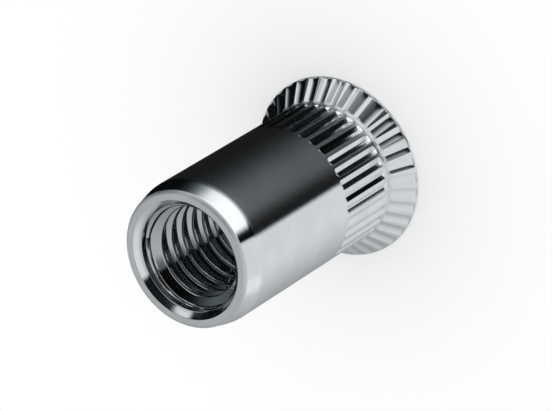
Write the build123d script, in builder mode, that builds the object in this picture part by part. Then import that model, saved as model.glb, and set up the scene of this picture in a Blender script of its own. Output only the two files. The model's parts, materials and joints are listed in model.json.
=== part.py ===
from build123d import *
from math import cos, radians, sin, tan
import os

# Open-ended rivet nut with a countersunk head, made from one piece of steel.
# It stands on the flat face of its head. The origin is the centre of that face,
# and +Z runs along the axis, through the ribbed shank, to the threaded tail.
# All sizes are in millimetres and all angles in degrees.

# Thread, at the tail's end of the bore
thread_diameter = 8.0
thread_pitch = 1.25
threaded_length = 8.4

# Outside
overall_length = 19.4
shank_wall = 1.5
head_overhang = 1.45
head_cone_angle = 90.0
head_edge_thickness = 0.15
neck_fillet_radius = 0.25

# Ribs on the shank, made by grooves that run along the axis
rib_count = 36
rib_start_gap = 0.3
rib_length = 5.2
rib_groove_width = 0.68
rib_groove_depth = 0.16

# Serrations under the head, made by shallow round hollows that run out along the cone.
# They stand turned a little from the ribs
serration_count = 36
serration_width = 0.9
serration_depth = 0.09
serration_end_gap = 0.03
serration_turn = 2.0

# Tail
tail_taper_length = 1.6
tail_taper_angle = 13.0
tail_taper_blend_radius = 2.5
tail_edge_radius = 0.3
tail_face_width = 0.63

# Bore, from the tail to the head: a chamfered mouth, a counterbore that clears the thread, a cone
# into the thread, and a wider body bore behind it
mouth_angle = 90.0
counterbore_clearance = 0.05
counterbore_depth = 0.95
lead_in_angle = 120.0
shoulder_angle = 120.0
body_wall = 0.9
bore_edge_chamfer = 0.3

# The minor diameter of a metric thread lies 1.0825 pitches inside its nominal diameter
minor_diameter = thread_diameter - 1.0825 * thread_pitch

# Radii from the axis
minor_radius = minor_diameter / 2
counterbore_radius = thread_diameter / 2 + counterbore_clearance
barrel_radius = thread_diameter / 2 + shank_wall
head_radius = barrel_radius + head_overhang
body_bore_radius = barrel_radius - body_wall
tail_radius = barrel_radius - tail_taper_length * tan(radians(tail_taper_angle))
mouth_radius = tail_radius - tail_face_width

# Heights above the head's flat face
half_cone_angle = radians(head_cone_angle / 2)
cone_top = head_edge_thickness + head_overhang / tan(half_cone_angle)
rib_start = cone_top + rib_start_gap
taper_start = overall_length - tail_taper_length
mouth_bottom = overall_length - (mouth_radius - counterbore_radius) / tan(radians(mouth_angle / 2))
counterbore_bottom = overall_length - counterbore_depth
thread_end = counterbore_bottom - (counterbore_radius - minor_radius) / tan(radians(lead_in_angle / 2))
thread_start = overall_length - threaded_length
shoulder_start = thread_start - (body_bore_radius - minor_radius) / tan(radians(shoulder_angle / 2))

# Half of the body's section: distance from the axis, height, and rounding of each corner
section_corners = [
    (body_bore_radius + bore_edge_chamfer, 0, 0),
    (head_radius, 0, 0),
    (head_radius, head_edge_thickness, 0),
    (barrel_radius, cone_top, neck_fillet_radius),
    (barrel_radius, taper_start, tail_taper_blend_radius),
    (tail_radius, overall_length, tail_edge_radius),
    (mouth_radius, overall_length, 0),
    (counterbore_radius, mouth_bottom, 0),
    (counterbore_radius, counterbore_bottom, 0),
    (minor_radius, thread_end, 0),
    (minor_radius, thread_start, 0),
    (body_bore_radius, shoulder_start, 0),
    (body_bore_radius, bore_edge_chamfer, 0),
]

# A rib's groove is a V whose sides carry on above the surface by one more depth
rib_groove = [
    (0, -rib_groove_depth),
    (rib_groove_width, rib_groove_depth),
    (-rib_groove_width, rib_groove_depth),
]

# A serration's hollow has an arc for its section, and runs along the cone's slope from near the
# neck's fillet to near the rim
slope_out = (sin(half_cone_angle), 0, -cos(half_cone_angle))
hollow_start = neck_fillet_radius * tan(half_cone_angle / 2) + serration_end_gap
hollow_end = head_overhang / sin(half_cone_angle) - serration_end_gap
hollow_foot = Plane(origin=(barrel_radius, 0, cone_top), x_dir=(0, 1, 0), z_dir=slope_out)
half_hollow = serration_width / 2

with BuildPart() as serration_hollow:
    with BuildSketch(hollow_foot.offset(hollow_start)):
        with BuildLine():
            ThreePointArc((-half_hollow, 0), (0, -serration_depth), (half_hollow, 0))
            Polyline(
                (half_hollow, 0),
                (half_hollow, serration_depth),
                (-half_hollow, serration_depth),
                (-half_hollow, 0),
            )
        make_face()
    extrude(amount=hollow_end - hollow_start)

with BuildPart() as rivet_nut:
    # Turned body with its bore
    with BuildSketch(Plane.XZ):
        with BuildLine():
            FilletPolyline(
                *[(radius, height) for radius, height, rounding in section_corners],
                radius=[rounding for radius, height, rounding in section_corners],
                close=True,
            )
        make_face()
    revolve(axis=Axis.Z)

    # Ribs
    with BuildSketch(Plane.XY.offset(rib_start)):
        with PolarLocations(barrel_radius, rib_count, start_angle=180 / rib_count):
            Polygon(*rib_groove, rotation=-90, align=None)
    extrude(amount=rib_length, mode=Mode.SUBTRACT)

    # Serrations
    with PolarLocations(0, serration_count, start_angle=180 / serration_count + serration_turn):
        add(serration_hollow.part, mode=Mode.SUBTRACT)

rivet_nut.part.label = "rivet_nut"

os.makedirs("parts", exist_ok=True)
export_step(rivet_nut.part, "parts/rivet_nut.step")
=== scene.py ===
import json
import math
from collections import namedtuple

import bmesh
import bpy
from mathutils import Matrix, Vector


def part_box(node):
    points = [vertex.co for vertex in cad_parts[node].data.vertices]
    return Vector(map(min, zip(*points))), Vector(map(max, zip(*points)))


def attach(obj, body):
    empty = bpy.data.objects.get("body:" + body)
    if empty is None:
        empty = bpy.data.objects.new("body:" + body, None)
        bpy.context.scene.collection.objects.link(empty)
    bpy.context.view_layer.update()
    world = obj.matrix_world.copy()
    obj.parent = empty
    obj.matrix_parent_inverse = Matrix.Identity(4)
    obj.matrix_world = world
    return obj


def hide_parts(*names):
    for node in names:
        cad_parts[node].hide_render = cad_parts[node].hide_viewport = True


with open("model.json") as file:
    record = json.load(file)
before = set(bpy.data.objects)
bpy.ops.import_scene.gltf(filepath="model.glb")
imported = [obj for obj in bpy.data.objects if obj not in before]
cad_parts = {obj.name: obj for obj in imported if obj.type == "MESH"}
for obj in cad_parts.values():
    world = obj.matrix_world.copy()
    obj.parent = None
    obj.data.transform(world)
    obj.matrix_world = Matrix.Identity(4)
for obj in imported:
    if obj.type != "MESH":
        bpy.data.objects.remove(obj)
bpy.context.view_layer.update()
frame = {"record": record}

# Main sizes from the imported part, in millimetres
MM = 0.001
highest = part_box("rivet_nut")[1]
mounts = {mount["name"]: mount["dims"] for mount in frame["record"]["mounts"]}
LENGTH = highest.z / MM
HEAD_RADIUS = highest.x / MM
BARREL_RADIUS = mounts["shank"]["r_mm"]
MINOR_RADIUS = mounts["screw_thread"]["r_mm"]
BODY_BORE_RADIUS = mounts["body_bore"]["r_mm"]

# Head
HEAD_EDGE = 0.15
HEAD_EDGE_ROUND = 0.04
NECK_FILLET = 0.25
CONE_TOP = HEAD_EDGE + HEAD_RADIUS - BARREL_RADIUS

# Grooves in the shank and in the cone under the head. An offset is an angle around the axis, and a bend
# of 1 makes straight flanks and 2 a rounded hollow
Groove = namedtuple("Groove", "half_width depth offset bend")
GROOVE_COUNT = 36
RIB = Groove(0.35, 0.16, math.radians(-0.7), 1.0)
RIB_START = CONE_TOP + 0.3
RIB_END = RIB_START + 5.2
RIB_RUN_OUT = 0.2
SERRATION = Groove(0.43, 0.103, math.radians(1.35), 1.67)
SERRATION_RIM_DEPTH = 0.08
SERRATION_RIM_REACH = 0.3
SERRATION_RUN_OUT = (0.85, 0.6, 0.3, 0.1, 0.0)

# Tail
TAPER_LENGTH = 1.6
TAPER_ANGLE = math.radians(13)
TAPER_BLEND = 2.5
TAIL_RADIUS = BARREL_RADIUS - TAPER_LENGTH * math.tan(TAPER_ANGLE)
TAIL_EDGE_ROUND = 0.3
TAIL_FACE_WIDTH = 0.63
MOUTH_RADIUS = TAIL_RADIUS - TAIL_FACE_WIDTH
MOUTH_ROUND = 0.08

# Corners of the outside: distance from the axis and height
RIM_LOW = (HEAD_RADIUS, 0)
RIM_HIGH = (HEAD_RADIUS, HEAD_EDGE)
NECK = (BARREL_RADIUS, CONE_TOP)
TAPER_LOW = (BARREL_RADIUS, LENGTH - TAPER_LENGTH)
TAIL_EDGE = (TAIL_RADIUS, LENGTH)
MOUTH = (MOUTH_RADIUS, LENGTH)

# Bore and thread
PITCH = 1.25
MAJOR_RADIUS = 4.0
FLANK_SLOPE = math.tan(math.radians(30))
CREST_AT_ANGLE_0 = 1.0
COUNTERBORE_RADIUS = 4.05
COUNTERBORE_BOTTOM = LENGTH - 0.95
COUNTERBORE_ROUND = 0.05
THREADED_LENGTH = 8.4
SHOULDER_SLOPE = math.tan(math.radians(60))
SHOULDER_LENGTH = (BODY_BORE_RADIUS - MINOR_RADIUS) / SHOULDER_SLOPE
SHOULDER_END = LENGTH - THREADED_LENGTH - SHOULDER_LENGTH
BORE_CHAMFER = 0.3
EDGE_SOFTENING = 0.05

# Where the mesh has its columns in half a groove and half a land: 1 is the groove's edge and 2 the
# middle of the land
GROOVE_COLUMNS = (0.1, 0.3, 0.5, 0.7, 0.85, 0.95, 1.08, 1.4)
LAND_MIDDLE = 2.0
BORE_COLUMNS = 320

# Where it has its rows: distances from an edge in millimetres, but shares of the length on the cone and
# between the ends of the ribs
FLAT_ROWS = (0.42, 0.12)
RIM_ROWS = (0.08, 0.15, 0.25, 0.35)
CONE_ROWS = (0.3, 0.5, 0.7, 0.85, 0.95, 1.0)
RIB_END_ROWS = (-0.08, 0.0, 0.05, 0.1, 0.15, 0.2, 0.25, 0.35, 0.6)
RIB_ROWS = (0.25, 0.5, 0.75)
BARREL_ROWS = (0.5, 3.5, 6.5, 9.5)
TAPER_ROWS = (0.2, 0.08)
TAIL_FACE_ROWS = (0.14, 0.1)
MOUTH_CHAMFER_ROW = 0.08
COUNTERBORE_ROW = 0.1
CREST_ROWS = (0.01, 0.05, 0.2)
ROOT_ROWS = (0.07, 0.02)
ROOT_FLAT_ROW = 0.03
SHOULDER_ROWS = (0.05, 0.3)
BORE_CHAMFER_ROWS = (0.1, 0.02)
HEAD_FACE_ROW = 0.12

# Two points nearer than this are one, and an edge shorter than the second length goes
SAME_POINT = 0.0002
SHORTEST_EDGE = 0.0001

# Finish: each roughness holds up to the first distance in millimetres, and has faded at the second
BARREL_ROUGHNESS = 0.158
BARREL_BAND = (0.01, 0.03)
NECK_ROUGHNESS = 0.35
NECK_BAND = (0.1, 0.25)
TAIL_EDGE_ROUGHNESS = 0.45
TAIL_EDGE_BAND = (0.16, 0.26)
FORMED_ROUGHNESS = 0.08
BORE_BAND = (0.03, 0.3)
BORE_SMOOTHING = 0.03
# Painted shade: the share of the base colour taken away inside the bore
BORE_PAINTED_SHADE = 0.4
TINTS = ((0.745, 0.785, 0.81, 1), (0.795, 0.83, 0.85, 1))
UNEVENNESS = (0.35, 0.65)
UNEVENNESS_SCALE = 500.0
MARKS_SLANT = 1.7
MARKS_SCALE = 9000.0
MARKS_HEIGHT = 0.02
MARKS_STRENGTH = 0.05

# Soft boxes round the standing part. Each edge has the azimuth and elevation of its inward side, and where
# the light starts and is full, in degrees past the plane through the part. A wall stands on the left
LEFT_LIGHT = (0.38, 0.8)
LEFT_LIGHT_AZIMUTHS = (105.0, 205.0)
LEFT_EDGES = ((161, 6.5, -2, 2), (0, -90, -76, -68))

# The front box is brightest in its middle
FRONT_LIGHT = 1.25
FRONT_MIDDLE = (-61, 40)
FRONT_FADING = 7.4
FRONT_GLOW = 0.105
FRONT_EDGES = (
    (-16, 21, -4.5, 4.5), (0, -90, -83, 2), (0, 90, -50, -36), (-62.8, -53.3, -7, 7), (0, -90, -40, -33.5),
)

# A narrow box on the right, a patch above that the tail's face mirrors, and a low one for the taper
RIGHT_LIGHT = 0.84
RIGHT_EDGES = ((62, 0, -4, 4), (-88.6, 0, -4, 4), (0, -90, -40.5, -36), (0, 90, -2, 8))
SKY_LIGHT = 0.48
SKY_EDGES = ((90, 48.6, 38, 60),)
LOW_LIGHT = 0.93
LOW_EDGES = ((-105, 0, -20, 14), (115, 0, -20, 14), (0, 90, -42, -30), (0, -90, 6, 14))
LEAST_LIGHT = 0.003
DIM_HUE = (0.76, 0.92, 1.0, 1)
EVEN_LIGHT = 1.08
WHITE = (1, 1, 1, 1)

FLOOR_HALF_SIZE = 3.0
FLOOR_GAP = 0.01
FLOOR_COLOUR = (0.95, 0.95, 0.95, 1)

# Camera, fitted to the outline in the photograph
CAMERA_AZIMUTH = math.radians(-91.4)
CAMERA_ELEVATION = math.radians(48.57)
CAMERA_ROLL = math.radians(121.69)
CAMERA_DISTANCE = 278.75
CAMERA_OFFSET = (-1.096, 0.5605)
CAMERA_AIM_HEIGHT = 10.0
CAMERA_LENS = 253.4
CAMERA_CLIP_START = 10.0
SENSOR_WIDTH = 36.0


def unit(vector):
    length = math.hypot(*vector)
    return tuple(value / length for value in vector)


def outward(start, end):
    """The profile's outward normal between two points: the profile keeps the metal on its left."""
    along = unit((end[0] - start[0], end[1] - start[1]))
    return along[1], -along[0]


def rounded(before, corner, after, radius, steps):
    """Points and normals of the arc that rounds a corner of the profile."""
    back = unit((before[0] - corner[0], before[1] - corner[1]))
    forth = unit((after[0] - corner[0], after[1] - corner[1]))
    half_corner = math.acos(back[0] * forth[0] + back[1] * forth[1]) / 2
    reach = radius / math.tan(half_corner)
    first = outward(before, corner)
    last = outward(corner, after)
    turn = math.pi - 2 * half_corner
    left_turn = first[0] * last[1] - first[1] * last[0] > 0
    start = (corner[0] + back[0] * reach, corner[1] + back[1] * reach)
    side = -radius if left_turn else radius
    centre = (start[0] + first[0] * side, start[1] + first[1] * side)
    points = []
    for step in range(steps + 1):
        angle = turn * step / steps * (1 if left_turn else -1)
        normal = (
            first[0] * math.cos(angle) - first[1] * math.sin(angle),
            first[0] * math.sin(angle) + first[1] * math.cos(angle),
        )
        point = (centre[0] - normal[0] * side, centre[1] - normal[1] * side)
        points.append((point, normal))
    return points


def deepening(distance, length):
    """How far a groove has deepened, from 0 to 1, at a distance from its end."""
    return min(max(distance / length, 0.0), 1.0)


def plain(points, groove):
    """Rows where the groove has no depth. A row is a point, its normal, a groove and the groove's depth."""
    return [(point, normal, groove, 0.0) for point, normal in points]


def head_rows():
    """Rows from the head's flat face over its rim and cone to the neck, where the serrations run out."""
    flat = [((HEAD_RADIUS - row, 0), (0, -1)) for row in FLAT_ROWS]
    rows = plain(flat, SERRATION)
    rows += plain(rounded(flat[0][0], RIM_LOW, RIM_HIGH, HEAD_EDGE_ROUND, 3), SERRATION)
    for step, (point, normal) in enumerate(rounded(RIM_LOW, RIM_HIGH, NECK, HEAD_EDGE_ROUND, 2)):
        rows.append((point, normal, SERRATION, SERRATION_RIM_DEPTH * step / 2))

    slope = outward(RIM_HIGH, NECK)
    slope_length = math.dist(RIM_HIGH, NECK)
    end = slope_length - NECK_FILLET * math.tan(math.pi / 8)
    for place in RIM_ROWS + tuple(end * row for row in CONE_ROWS):
        share = place / slope_length
        point = tuple(a + (b - a) * share for a, b in zip(RIM_HIGH, NECK))
        deeper = (SERRATION.depth - SERRATION_RIM_DEPTH) * deepening(place, SERRATION_RIM_REACH)
        rows.append((point, slope, SERRATION, SERRATION_RIM_DEPTH + deeper))

    fillet = rounded(RIM_HIGH, NECK, TAPER_LOW, NECK_FILLET, len(SERRATION_RUN_OUT))[1:]
    for (point, normal), share in zip(fillet, SERRATION_RUN_OUT):
        rows.append((point, normal, SERRATION, SERRATION.depth * share))
    return rows


def shank_rows():
    """Rows of the ribs, and of the barrel beyond them."""
    places = [RIB_START + row for row in RIB_END_ROWS]
    places += [RIB_START + (RIB_END - RIB_START) * row for row in RIB_ROWS]
    places += [RIB_END - row for row in reversed(RIB_END_ROWS)]
    rows = []
    for place in places:
        share = deepening(place - RIB_START, RIB_RUN_OUT) * deepening(RIB_END - place, RIB_RUN_OUT)
        rows.append(((BARREL_RADIUS, place), (1, 0), RIB, RIB.depth * share))
    return rows + plain([((BARREL_RADIUS, RIB_END + row), (1, 0)) for row in BARREL_ROWS], RIB)


def tail_rows():
    """Rows of the taper, of the tail's edge and of its face."""
    rows = plain(rounded(NECK, TAPER_LOW, TAIL_EDGE, TAPER_BLEND, 8), RIB)
    taper = outward(TAPER_LOW, TAIL_EDGE)
    reach = TAIL_EDGE_ROUND / math.tan((math.pi / 2 + TAPER_ANGLE) / 2)
    for row in TAPER_ROWS:
        point = (TAIL_EDGE[0] + taper[1] * (reach + row), TAIL_EDGE[1] - taper[0] * (reach + row))
        rows.append((point, taper, RIB, 0.0))
    rows += plain(rounded(TAPER_LOW, TAIL_EDGE, MOUTH, TAIL_EDGE_ROUND, 8), RIB)
    face = (MOUTH_RADIUS + MOUTH_ROUND + TAIL_FACE_ROWS[0], LENGTH)
    return rows + plain([(face, (0, 1))], RIB)


def outer_skin():
    """Rings of points of the outer skin, each with its angles."""
    half_period = math.pi / GROOVE_COUNT
    columns = [-share for share in reversed(GROOVE_COLUMNS)]
    columns += [0.0, *GROOVE_COLUMNS, LAND_MIDDLE]
    rings = []
    for (radius, height), normal, groove, depth in head_rows() + shank_rows() + tail_rows():
        half_angle = groove.half_width / radius
        ring = []
        for index in range(GROOVE_COUNT):
            centre = (2 * index + 1) * half_period + groove.offset
            for column in columns:
                share = abs(column)
                if share <= 1:
                    angle = half_angle * share
                    sink = depth * (1 - share**groove.bend)
                else:
                    angle = half_angle + (half_period - half_angle) * (share - 1)
                    sink = 0.0
                angle = centre + math.copysign(angle, column)
                ring.append((angle, radius - normal[0] * sink, height - normal[1] * sink))
        rings.append(ring)
    return rings


def thread_profile():
    """One pitch of the thread from crest to crest: distance along the axis and radius at each row."""
    crest = PITCH / 8
    root = (MAJOR_RADIUS - MINOR_RADIUS) * FLANK_SLOPE + crest
    half = [(0.0, MINOR_RADIUS), (crest - CREST_ROWS[0], MINOR_RADIUS)]
    half += [(crest + row, MINOR_RADIUS + row / FLANK_SLOPE) for row in CREST_ROWS]
    half += [(root - row, MAJOR_RADIUS - row / FLANK_SLOPE) for row in ROOT_ROWS]
    half.append((root + ROOT_FLAT_ROW, MAJOR_RADIUS))
    return half + [(PITCH - step, radius) for step, radius in reversed(half[1:])]


def smooth_larger(a, b):
    """The larger of two radii, with the edge where they meet rounded off."""
    near = max(EDGE_SOFTENING - abs(a - b), 0.0) / EDGE_SOFTENING
    return max(a, b) + near * near * EDGE_SOFTENING / 4


def thread_point(radius, height):
    """A point of the thread, which starts in one cone under the counterbore and ends in the shoulder's."""
    height = min(max(height, SHOULDER_END), COUNTERBORE_BOTTOM)
    lead_in = COUNTERBORE_RADIUS - (COUNTERBORE_BOTTOM - height) * SHOULDER_SLOPE
    shoulder = BODY_BORE_RADIUS - (height - SHOULDER_END) * SHOULDER_SLOPE
    return smooth_larger(smooth_larger(radius, lead_in), shoulder), height


def entry_profile():
    """Points from the tail's face through the mouth and the counterbore."""
    face = (MOUTH_RADIUS + MOUTH_ROUND + TAIL_FACE_ROWS[1], LENGTH)
    foot = (COUNTERBORE_RADIUS, LENGTH - (MOUTH_RADIUS - COUNTERBORE_RADIUS))
    bottom = (COUNTERBORE_RADIUS, COUNTERBORE_BOTTOM)
    points = [face] + [point for point, normal in rounded(face, MOUTH, foot, MOUTH_ROUND, 4)]
    points.append((foot[0] + MOUTH_CHAMFER_ROW, foot[1] + MOUTH_CHAMFER_ROW))
    points += [point for point, normal in rounded(MOUTH, foot, bottom, COUNTERBORE_ROUND, 3)]
    points.append((COUNTERBORE_RADIUS, COUNTERBORE_BOTTOM + COUNTERBORE_ROW))
    return points


def exit_profile():
    """Points from the thread's end through the body bore to the head's flat face."""
    near = BORE_CHAMFER_ROWS[1]
    points = [(BODY_BORE_RADIUS, SHOULDER_END - row) for row in SHOULDER_ROWS]
    points.append((BODY_BORE_RADIUS, SHOULDER_END / 2))
    points += [(BODY_BORE_RADIUS, BORE_CHAMFER + row) for row in BORE_CHAMFER_ROWS]
    points.append((BODY_BORE_RADIUS + near, BORE_CHAMFER - near))
    points.append((BODY_BORE_RADIUS + BORE_CHAMFER - near, near))
    points.append((BODY_BORE_RADIUS + BORE_CHAMFER + near, 0.0))
    points.append((BODY_BORE_RADIUS + BORE_CHAMFER + HEAD_FACE_ROW, 0.0))
    return points


def bore_skin():
    """Columns of points down the bore, and how many rows the thread climbs in one turn."""
    profile = thread_profile()
    crests_below = math.ceil((COUNTERBORE_BOTTOM - CREST_AT_ANGLE_0) / PITCH)
    first_crest = CREST_AT_ANGLE_0 + PITCH * crests_below
    turns = math.ceil((first_crest - SHOULDER_END) / PITCH) + 2
    columns = []
    for column in range(BORE_COLUMNS):
        angle = 2 * math.pi * column / BORE_COLUMNS
        climb = PITCH * column / BORE_COLUMNS
        thread = []
        for turn in range(turns):
            for step, radius in profile[:-1]:
                thread.append(thread_point(radius, first_crest + climb - PITCH * turn - step))
        columns.append((angle, entry_profile(), thread, exit_profile()))
    return columns, len(profile) - 1


class Skin:
    """Collects vertices and faces for one closed mesh."""

    def __init__(self):
        self.vertices = []
        self.faces = []

    def add(self, angle, radius, height):
        x = radius * math.cos(angle) * MM
        y = radius * math.sin(angle) * MM
        self.vertices.append((x, y, height * MM))
        return len(self.vertices) - 1

    def join_rings(self, first, second):
        """Quads between two rings with the same number of points."""
        count = len(first)
        for index in range(count):
            following = (index + 1) % count
            self.faces.append((first[index], first[following], second[following], second[index]))

    def join_all(self, rings):
        """Quads from each ring to the next."""
        for first, second in zip(rings, rings[1:]):
            self.join_rings(first, second)

    def join_thread(self, columns, rows_per_turn):
        """Quads between the thread's columns. Its rows climb one pitch in a turn, so its last column meets
        the first one turn higher."""
        count = len(columns)
        for column, here in enumerate(columns):
            beside = columns[(column + 1) % count]
            shift = rows_per_turn if column + 1 == count else 0
            for row in range(len(here) - 1):
                high = max(row - shift, 0)
                low = max(row + 1 - shift, 0)
                self.faces.append((here[row], beside[high], beside[low], here[row + 1]))

    def zip_rings(self, first, first_angles, second, second_angles):
        """Triangles between two rings whose points stand at different angles."""
        a = b = 0
        while a < len(first) or b < len(second):
            next_a = first_angles[a + 1] if a + 1 < len(first) else first_angles[0] + 2 * math.pi
            next_b = second_angles[b + 1] if b + 1 < len(second) else second_angles[0] + 2 * math.pi
            here_a = first[a % len(first)]
            here_b = second[b % len(second)]
            if b >= len(second) or (a < len(first) and next_a <= next_b):
                self.faces.append((here_a, first[(a + 1) % len(first)], here_b))
                a += 1
            else:
                self.faces.append((here_a, second[(b + 1) % len(second)], here_b))
                b += 1


def rivet_nut_skin():
    skin = Skin()
    places = outer_skin()
    outer = [[skin.add(*place) for place in ring] for ring in places]
    skin.join_all(outer)
    head_angles = [place[0] for place in places[0]]
    tail_angles = [place[0] for place in places[-1]]

    columns, rows_per_turn = bore_skin()
    bore_angles = [column[0] for column in columns]
    entry, thread, leave = [], [], []
    for angle, entry_points, thread_points, exit_points in columns:
        entry.append([skin.add(angle, *place) for place in entry_points])
        thread.append([skin.add(angle, *place) for place in thread_points])
        leave.append([skin.add(angle, *place) for place in exit_points])
    entry_rings = list(zip(*entry))
    leave_rings = list(zip(*leave))
    skin.join_all(entry_rings)
    skin.join_all(leave_rings)
    skin.join_thread(thread, rows_per_turn)
    skin.join_rings(entry_rings[-1], [column[0] for column in thread])
    skin.join_rings([column[-1] for column in thread], leave_rings[0])
    skin.zip_rings(outer[-1], tail_angles, entry_rings[0], bore_angles)
    skin.zip_rings(leave_rings[-1], bore_angles, outer[0], head_angles)
    return skin


def build_rivet_nut(material):
    skin = rivet_nut_skin()
    mesh = bpy.data.meshes.new("rivet_nut_detailed")
    mesh.from_pydata(skin.vertices, [], skin.faces)
    work = bmesh.new()
    work.from_mesh(mesh)
    bmesh.ops.remove_doubles(work, verts=work.verts, dist=SAME_POINT * MM)
    bmesh.ops.dissolve_degenerate(work, edges=work.edges, dist=SHORTEST_EDGE * MM)
    for face in work.faces:
        face.smooth = True
    work.to_mesh(mesh)
    work.free()
    mesh.materials.append(material)
    piece = bpy.data.objects.new("rivet_nut_detailed", mesh)
    bpy.context.scene.collection.objects.link(piece)
    return piece


class Nodes:
    """Short calls for building a node tree."""

    def __init__(self, tree):
        self.tree = tree
        tree.nodes.clear()

    def new(self, kind, **settings):
        node = self.tree.nodes.new(kind)
        for name, value in settings.items():
            setattr(node, name, value)
        return node

    def put(self, socket, value):
        if isinstance(value, bpy.types.NodeSocket):
            self.tree.links.new(value, socket)
        else:
            socket.default_value = value

    def split(self, vector):
        node = self.new("ShaderNodeSeparateXYZ")
        self.put(node.inputs[0], vector)
        return node.outputs

    def math(self, operation, *values):
        node = self.new("ShaderNodeMath", operation=operation)
        for socket, value in zip(node.inputs, values):
            self.put(socket, value)
        return node.outputs[0]

    def distance(self, value, place):
        return self.math("ABSOLUTE", self.math("SUBTRACT", value, place))

    def hypot(self, a, b):
        squares = self.math("MULTIPLY", a, a), self.math("MULTIPLY", b, b)
        return self.math("SQRT", self.math("ADD", *squares))

    def ramp(self, value, start, end, low=0.0, high=1.0):
        node = self.new("ShaderNodeMapRange", interpolation_type="SMOOTHSTEP")
        names = ("Value", "From Min", "From Max", "To Min", "To Max")
        for name, put in zip(names, (value, start, end, low, high)):
            self.put(node.inputs[name], put)
        return node.outputs[0]

    def mix(self, factor, a, b, blend_type="MIX"):
        node = self.new("ShaderNodeMix", data_type="RGBA", blend_type=blend_type)
        for name, put in (("Factor", factor), ("A", a), ("B", b)):
            self.put(node.inputs[name], put)
        return node.outputs["Result"]


def plating_colour_and_painted_bore_shade(nodes, coordinates, in_bore):
    """Zinc's faintly uneven tint, with painted shade that darkens the colour in the bore."""
    uneven = nodes.new("ShaderNodeTexNoise", noise_dimensions="3D")
    nodes.put(uneven.inputs["Vector"], coordinates)
    uneven.inputs["Scale"].default_value = UNEVENNESS_SCALE
    uneven.inputs["Detail"].default_value = 3.0
    tint = nodes.mix(nodes.ramp(uneven.outputs["Fac"], *UNEVENNESS), *TINTS)
    # Painted shade: the colour is made darker inside the bore
    shade = nodes.math("SUBTRACT", 1.0, nodes.math("MULTIPLY", in_bore, BORE_PAINTED_SHADE))
    return nodes.mix(1.0, tint, shade, "MULTIPLY")


def plating_roughness(nodes, radius, z, in_bore):
    """The barrel and the lands between the ribs keep the marks of turning, and the pressed grooves don't."""

    def band(distance, reach, roughness):
        return nodes.ramp(distance, reach[0] * MM, reach[1] * MM, roughness, FORMED_ROUGHNESS)

    off_barrel = nodes.distance(radius, BARREL_RADIUS * MM)
    off_neck = nodes.distance(z, CONE_TOP * MM)
    off_tail_edge = nodes.hypot(nodes.distance(radius, TAIL_RADIUS * MM), nodes.distance(z, LENGTH * MM))
    turned = band(off_barrel, BARREL_BAND, BARREL_ROUGHNESS)
    neck = band(off_neck, NECK_BAND, NECK_ROUGHNESS)
    tail_edge = band(off_tail_edge, TAIL_EDGE_BAND, TAIL_EDGE_ROUGHNESS)
    rough = nodes.math("MAXIMUM", nodes.math("MAXIMUM", turned, neck), tail_edge)
    return nodes.math("SUBTRACT", rough, nodes.math("MULTIPLY", in_bore, BORE_SMOOTHING))


def turning_marks(nodes, radius, z, in_bore):
    """Fine marks that run round the axis, and that the bore doesn't have."""
    station = nodes.math("ADD", z, nodes.math("MULTIPLY", radius, MARKS_SLANT))
    marks = nodes.new("ShaderNodeTexNoise", noise_dimensions="1D")
    nodes.put(marks.inputs["W"], nodes.math("MULTIPLY", station, MARKS_SCALE))
    marks.inputs["Detail"].default_value = 3.0
    outside = nodes.math("SUBTRACT", 1.0, in_bore)
    bump = nodes.new("ShaderNodeBump")
    bump.inputs["Strength"].default_value = MARKS_STRENGTH
    bump.inputs["Distance"].default_value = MARKS_HEIGHT * MM
    nodes.put(bump.inputs["Height"], nodes.math("MULTIPLY", marks.outputs["Fac"], outside))
    return bump.outputs["Normal"]


def plated_steel():
    """Bright zinc plating over turned steel."""
    material = bpy.data.materials.new("zinc_plated_steel")
    material.use_nodes = True
    nodes = Nodes(material.node_tree)
    coordinates = nodes.new("ShaderNodeTexCoord").outputs["Object"]
    x, y, z = nodes.split(coordinates)
    radius = nodes.hypot(x, y)
    start, end = ((MAJOR_RADIUS + distance) * MM for distance in BORE_BAND)
    in_bore = nodes.ramp(radius, start, end, 1.0, 0.0)

    shader = nodes.new("ShaderNodeBsdfPrincipled")
    shader.inputs["Metallic"].default_value = 1.0
    shader.inputs["Anisotropic"].default_value = 0.95
    shader.inputs["Anisotropic Rotation"].default_value = 0.25
    tangent = nodes.new("ShaderNodeTangent", direction_type="RADIAL", axis="Z")
    nodes.put(shader.inputs["Tangent"], tangent.outputs[0])
    nodes.put(shader.inputs["Base Color"], plating_colour_and_painted_bore_shade(nodes, coordinates, in_bore))
    nodes.put(shader.inputs["Roughness"], plating_roughness(nodes, radius, z, in_bore))
    nodes.put(shader.inputs["Normal"], turning_marks(nodes, radius, z, in_bore))
    output = nodes.new("ShaderNodeOutputMaterial")
    nodes.put(output.inputs["Surface"], shader.outputs["BSDF"])
    return material


def direction(azimuth, elevation):
    azimuth, elevation = math.radians(azimuth), math.radians(elevation)
    level = math.cos(elevation)
    return level * math.cos(azimuth), level * math.sin(azimuth), math.sin(elevation)


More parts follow.
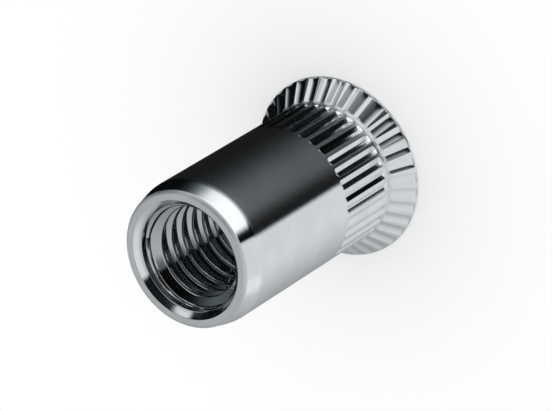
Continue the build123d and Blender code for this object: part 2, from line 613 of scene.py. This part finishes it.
def soft_boxes(nodes):
    """Strength of the light from each direction: the brightest of the soft boxes there."""
    ray = nodes.new("ShaderNodeTexCoord").outputs["Generated"]
    x, y, z = nodes.split(ray)
    turned = nodes.math("ARCTAN2", nodes.math("MULTIPLY", y, -1.0), nodes.math("MULTIPLY", x, -1.0))
    azimuth = nodes.math("ADD", nodes.math("MULTIPLY", turned, 180 / math.pi), 180.0)

    def past(edge_azimuth, edge_elevation):
        dot = nodes.new("ShaderNodeVectorMath", operation="DOT_PRODUCT")
        nodes.put(dot.inputs[0], ray)
        dot.inputs[1].default_value = direction(edge_azimuth, edge_elevation)
        return dot.outputs["Value"]

    def box(light, edges):
        for edge_azimuth, edge_elevation, first, full in edges:
            first, full = math.sin(math.radians(first)), math.sin(math.radians(full))
            lit = nodes.ramp(past(edge_azimuth, edge_elevation), first, full)
            light = nodes.math("MULTIPLY", light, lit)
        return light

    # The front box fades evenly from its middle, and below the level it also fades towards the right
    fading = nodes.math("EXPONENT", nodes.math("MULTIPLY", past(*FRONT_MIDDLE), FRONT_FADING))
    fading = nodes.math("MINIMUM", nodes.math("MULTIPLY", fading, FRONT_GLOW), FRONT_LIGHT)
    below = nodes.math("MAXIMUM", nodes.ramp(past(-90, 0), -0.5, 0.9), nodes.ramp(z, -0.1, 0.1))
    boxes = (
        box(nodes.ramp(azimuth, *LEFT_LIGHT_AZIMUTHS, *LEFT_LIGHT), LEFT_EDGES),
        box(nodes.math("MULTIPLY", fading, below), FRONT_EDGES),
        box(RIGHT_LIGHT, RIGHT_EDGES),
        box(SKY_LIGHT, SKY_EDGES),
        box(LOW_LIGHT, LOW_EDGES),
    )
    light = LEAST_LIGHT
    for lit in boxes:
        light = nodes.math("MAXIMUM", light, lit)
    return light


def studio():
    """The plating mirrors soft boxes, and all else has an even light. Dim light is a little blue."""
    world = bpy.data.worlds.new("studio")
    bpy.context.scene.world = world
    world.use_nodes = True
    nodes = Nodes(world.node_tree)
    light = soft_boxes(nodes)
    mirrored = nodes.new("ShaderNodeBackground")
    nodes.put(mirrored.inputs["Color"], nodes.mix(nodes.ramp(light, 0.0, 0.5), DIM_HUE, WHITE))
    nodes.put(mirrored.inputs["Strength"], light)
    even = nodes.new("ShaderNodeBackground")
    even.inputs["Color"].default_value = WHITE
    even.inputs["Strength"].default_value = EVEN_LIGHT
    path = nodes.new("ShaderNodeLightPath")
    seen = nodes.new("ShaderNodeMixShader")
    nodes.put(seen.inputs["Fac"], path.outputs["Is Glossy Ray"])
    nodes.put(seen.inputs[1], even.outputs[0])
    nodes.put(seen.inputs[2], mirrored.outputs[0])
    output = nodes.new("ShaderNodeOutputWorld")
    nodes.put(output.inputs["Surface"], seen.outputs[0])


def pale_floor():
    """A wide floor just under the part, which the plating doesn't mirror."""
    size = FLOOR_HALF_SIZE
    mesh = bpy.data.meshes.new("floor")
    corners = [(-size, -size, 0), (size, -size, 0), (size, size, 0), (-size, size, 0)]
    mesh.from_pydata(corners, [], [(0, 1, 2, 3)])
    floor = bpy.data.objects.new("floor", mesh)
    floor.location.z = -FLOOR_GAP * MM
    bpy.context.scene.collection.objects.link(floor)
    material = bpy.data.materials.new("pale_floor")
    material.use_nodes = True
    shader = material.node_tree.nodes["Principled BSDF"]
    shader.inputs["Base Color"].default_value = FLOOR_COLOUR
    shader.inputs["Roughness"].default_value = 0.9
    shader.inputs["Specular IOR Level"].default_value = 0.0
    mesh.materials.append(material)
    floor.visible_glossy = False


def place_camera():
    outward_level = Vector((math.cos(CAMERA_AZIMUTH), math.sin(CAMERA_AZIMUTH), 0))
    back = outward_level * math.cos(CAMERA_ELEVATION) + Vector((0, 0, math.sin(CAMERA_ELEVATION)))
    level = Vector((-outward_level.y, outward_level.x, 0))
    above = back.cross(level)
    right = level * math.cos(CAMERA_ROLL) - above * math.sin(CAMERA_ROLL)
    up = level * math.sin(CAMERA_ROLL) + above * math.cos(CAMERA_ROLL)
    aim = Vector((0, 0, CAMERA_AIM_HEIGHT))
    place = aim + back * CAMERA_DISTANCE - right * CAMERA_OFFSET[0] + up * CAMERA_OFFSET[1]
    turned = Matrix((right, up, back)).transposed().to_4x4()
    camera = bpy.data.objects.new("camera", bpy.data.cameras.new("camera"))
    camera.matrix_world = Matrix.Translation(place * MM) @ turned
    camera.data.lens = CAMERA_LENS
    camera.data.sensor_width = SENSOR_WIDTH
    camera.data.clip_start = CAMERA_CLIP_START * MM
    bpy.context.scene.collection.objects.link(camera)
    bpy.context.scene.camera = camera


bpy.context.scene.view_settings.view_transform = "Standard"
piece = build_rivet_nut(plated_steel())
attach(piece, "root")
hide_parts("rivet_nut")
studio()
pale_floor()
place_camera()
